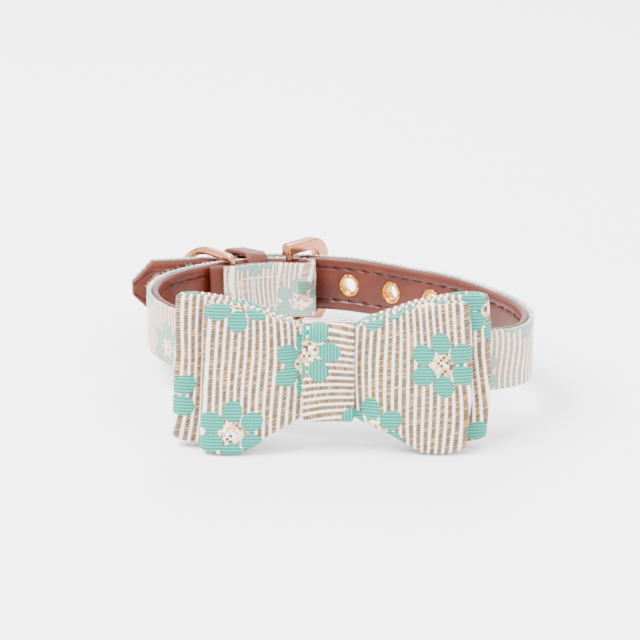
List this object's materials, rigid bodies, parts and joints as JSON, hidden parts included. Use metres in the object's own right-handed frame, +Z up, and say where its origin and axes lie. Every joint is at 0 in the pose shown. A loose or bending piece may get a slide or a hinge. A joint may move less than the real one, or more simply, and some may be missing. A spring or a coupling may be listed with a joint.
{
  "type": "pet bow tie collar",
  "caption": "Small pet collar, closed by its buckle: a woven flowered face on a brown leather strap with rolled edges, a layered bow in front, a D-ring, a keeper and a pointed free end.",
  "frame": {"origin": "on the surface the collar stands on, under the middle of its overall box", "axes": "+Z up, the bow in front towards -Y, the buckle at the rear towards +Y, the pointed free end at the rear left towards -X"},
  "size_m": [0.105, 0.101, 0.0378],
  "materials": {
    "leather": "smooth saddle brown, softly glossy, with fine grain",
    "brocade": "ribbed weave of white cords and gold thread with turquoise flowers",
    "rose_gold": "polished plating, light rose gold",
    "yellow_gold": "polished plating, yellow gold"
  },
  "bodies": {
    "collar": {"collar_lining": "leather", "collar_fabric": "brocade", "eyelet_1": "yellow_gold", "eyelet_2": "yellow_gold", "eyelet_3": "yellow_gold", "eyelet_4": "yellow_gold", "eyelet_5": "yellow_gold", "buckle_frame": "rose_gold", "buckle_prong": "yellow_gold", "keeper_loop": "leather", "bow_front": "brocade", "bow_back": "brocade", "bow_knot": "brocade", "bow_loop": "brocade"},
    "leash_ring": {"d_ring": "rose_gold"}
  },
  "joints": [
    {"name": "d_ring_swing", "type": "hinge", "parent": "collar", "child": "leash_ring", "pos_m": [-0.02444, 0.03265, 0.01312], "axis": [0, -0.0849, -0.9964], "range_deg": [0, 27]}
  ]
}
